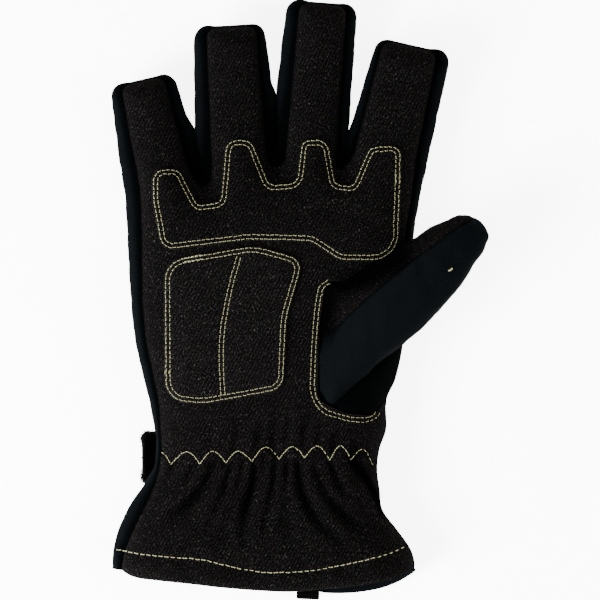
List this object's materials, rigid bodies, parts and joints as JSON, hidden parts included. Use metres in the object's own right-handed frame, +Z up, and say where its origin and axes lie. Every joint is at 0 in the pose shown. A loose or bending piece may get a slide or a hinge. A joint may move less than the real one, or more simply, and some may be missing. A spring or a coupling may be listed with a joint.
{
  "type": "extrication glove",
  "caption": "Right-hand padded work glove lying on its back, palm up: textured palm with sewn pads, plain back and side strips, gathered wrist, flared open cuff, strap and pull tab.",
  "frame": {"origin": "under the middle of the glove's box, on the surface that its back rests on", "axes": "+Y from the cuff to the finger tips, +X towards the thumb, +Z up out of the palm"},
  "size_m": [0.1734, 0.2766, 0.0413],
  "materials": {
    "textured_fabric": "matte brown-black woven twill with lighter flecks",
    "navy_knit": "matte blue-black fine knit",
    "black_webbing": "matte black brushed loop strap and webbing"
  },
  "bodies": {
    "root": {"palm_panel": "textured_fabric", "cuff_panel": "textured_fabric", "thumb_front": "textured_fabric", "knuckle_pad": "textured_fabric", "heel_pad": "textured_fabric", "back_panel": "navy_knit", "fourchette_little_ring": "navy_knit", "fourchette_ring_middle": "navy_knit", "fourchette_middle_index": "navy_knit", "side_panel_little": "navy_knit", "side_panel_index": "navy_knit", "thumb_back": "navy_knit", "thumb_gusset": "navy_knit", "wrist_strap": "black_webbing", "pull_tab": "black_webbing"}
  },
  "joints": []
}
